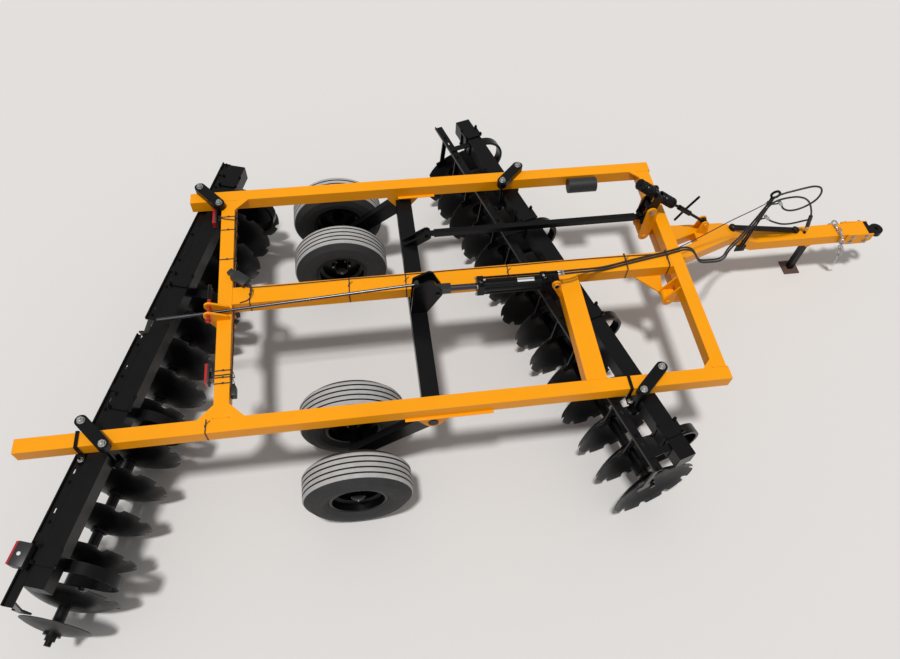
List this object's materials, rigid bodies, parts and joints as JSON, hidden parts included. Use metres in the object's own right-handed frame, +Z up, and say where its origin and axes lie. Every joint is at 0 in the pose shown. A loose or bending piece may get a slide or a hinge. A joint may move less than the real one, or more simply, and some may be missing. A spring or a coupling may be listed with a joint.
{
  "type": "trailed offset disc harrow",
  "caption": "Towed tillage implement: rectangular tube frame over two angled gangs of notched dished blades, lift wheels on a rockshaft, cylinder and drawbar.",
  "frame": {"origin": "centre of the machine's bounding box in plan, on the ground", "axes": "+X to the hitch, +Y to the machine's left, +Z up"},
  "size_m": [7.2091, 4.0562, 1.4093],
  "materials": {
    "frame_paint": "gloss",
    "black_paint": "semi-gloss",
    "blade_steel": "satin",
    "chrome_rod": "polished",
    "lamp_lens": "gloss",
    "black_plastic": "matt",
    "hose_rubber": "satin",
    "tyre_rubber": "dusty"
  },
  "bodies": {
    "frame": {"rail_right": "frame_paint", "rail_left": "frame_paint", "tube_rear_cross": "frame_paint", "tube_front_cross": "frame_paint", "tube_middle": "frame_paint", "tube_inner_cross": "frame_paint", "gussets": "frame_paint", "beam_front": "black_paint", "beam_rear": "black_paint", "gang_straps": "black_paint", "hangers_front": "black_paint", "hangers_rear": "black_paint", "scrapers_front": "black_paint", "scrapers_rear": "black_paint", "rock_brackets": "frame_paint", "tongue_brackets": "frame_paint", "crank_ears": "frame_paint", "cylinder_bracket": "frame_paint", "rear_clevis": "frame_paint", "lamps": "lamp_lens", "canister": "black_plastic", "hoses_frame": "hose_rubber"},
    "gang_front": {"blades_front": "blade_steel", "spools_front": "black_paint"},
    "gang_rear": {"blades_rear": "blade_steel", "spools_rear": "black_paint"},
    "rockshaft": {"rockshaft": "black_paint", "arm_right": "black_paint", "arm_left": "black_paint"},
    "wheels_right": {"rims_right": "black_paint", "tyre_right_outer": "tyre_rubber", "tyre_right_inner": "tyre_rubber"},
    "wheels_left": {"rims_left": "black_paint", "tyre_left_inner": "tyre_rubber", "tyre_left_outer": "tyre_rubber"},
    "cylinder_barrel": {"cylinder_barrel": "black_paint"},
    "cylinder_rod": {"cylinder_rod": "chrome_rod"},
    "depth_rod": {"depth_rod": "chrome_rod"},
    "levelling_tube": {"levelling_tube": "black_paint"},
    "bell_crank": {"bell_crank": "black_paint"},
    "tongue": {"tongue": "frame_paint", "hitch_eye": "black_paint", "tongue_fittings": "black_paint", "hoses_tongue": "hose_rubber"},
    "spring_rod": {"levelling_springs": "black_paint"},
    "stand": {"parking_stand": "black_paint"}
  },
  "joints": [
    {"name": "gang_front_spin", "type": "hinge", "parent": "frame", "child": "gang_front", "pos_m": [0.30698, 0.22449, 0.335], "axis": [-0.2857, 0.9583, 0], "continuous": true},
    {"name": "gang_rear_spin", "type": "hinge", "parent": "frame", "child": "gang_rear", "pos_m": [-2.76553, -0.10354, 0.335], "axis": [0.3107, 0.9505, 0], "continuous": true},
    {"name": "rockshaft_lift", "type": "hinge", "parent": "frame", "child": "rockshaft", "pos_m": [-0.7836, -0.9328, 0.838], "axis": [0, -1, 0], "range_deg": [-15, 25]},
    {"name": "wheels_right_spin", "type": "hinge", "parent": "rockshaft", "child": "wheels_right", "pos_m": [-1.3556, -0.9328, 0.395], "axis": [0, 1, 0], "continuous": true},
    {"name": "wheels_left_spin", "type": "hinge", "parent": "rockshaft", "child": "wheels_left", "pos_m": [-1.3556, 1.1332, 0.395], "axis": [0, 1, 0], "continuous": true},
    {"name": "cylinder_swing", "type": "hinge", "parent": "frame", "child": "cylinder_barrel", "pos_m": [0.2524, -0.0438, 1.1], "axis": [0, 1, 0], "range_deg": [-2.1, 3.2]},
    {"name": "cylinder_stroke", "type": "slide", "parent": "cylinder_barrel", "child": "cylinder_rod", "axis": [-0.9999, 0, 0.0167], "range_m": [-0.0781, 0.1288]},
    {"name": "depth_rod_swing", "type": "hinge", "parent": "rockshaft", "child": "depth_rod", "pos_m": [-0.7906, -0.0438, 1.19], "axis": [0, -1, 0], "range_deg": [-25.9, 15.7]},
    {"name": "levelling_tube_swing", "type": "hinge", "parent": "rockshaft", "child": "levelling_tube", "pos_m": [-0.6436, 0.6062, 0.988], "axis": [0, -1, 0], "range_deg": [-26.1, 15.8]},
    {"name": "bell_crank_turn", "type": "hinge", "parent": "frame", "child": "bell_crank", "pos_m": [1.1744, 0.6062, 1.12], "axis": [0, 1, 0], "range_deg": [-22.5, 37.1]},
    {"name": "tongue_swing", "type": "hinge", "parent": "frame", "child": "tongue", "pos_m": [1.1744, 0.6062, 0.84], "axis": [0, 1, 0], "range_deg": [-8.5, 13.8]},
    {"name": "spring_rod_swing", "type": "hinge", "parent": "tongue", "child": "spring_rod", "pos_m": [1.72696, 0.6062, 0.86215], "axis": [0, 1, 0], "range_deg": [-2.6, 1.8]},
    {"name": "stand_fold", "type": "hinge", "parent": "tongue", "child": "stand", "pos_m": [2.9044, 0.6712, 0.385], "axis": [0, -1, 0], "range_deg": [0, 78]}
  ],
  "couplings": [
    {"joint": "cylinder_stroke", "follows": "rockshaft_lift", "m_per_rad": 0.2906},
    {"joint": "cylinder_swing", "follows": "rockshaft_lift", "ratio": 0.1067},
    {"joint": "depth_rod_swing", "follows": "rockshaft_lift", "ratio": -1.0148},
    {"joint": "levelling_tube_swing", "follows": "rockshaft_lift", "ratio": -1.0223},
    {"joint": "bell_crank_turn", "follows": "rockshaft_lift", "ratio": 1.4649},
    {"joint": "tongue_swing", "follows": "rockshaft_lift", "ratio": 0.5309},
    {"joint": "spring_rod_swing", "follows": "rockshaft_lift", "ratio": -0.0836}
  ]
}
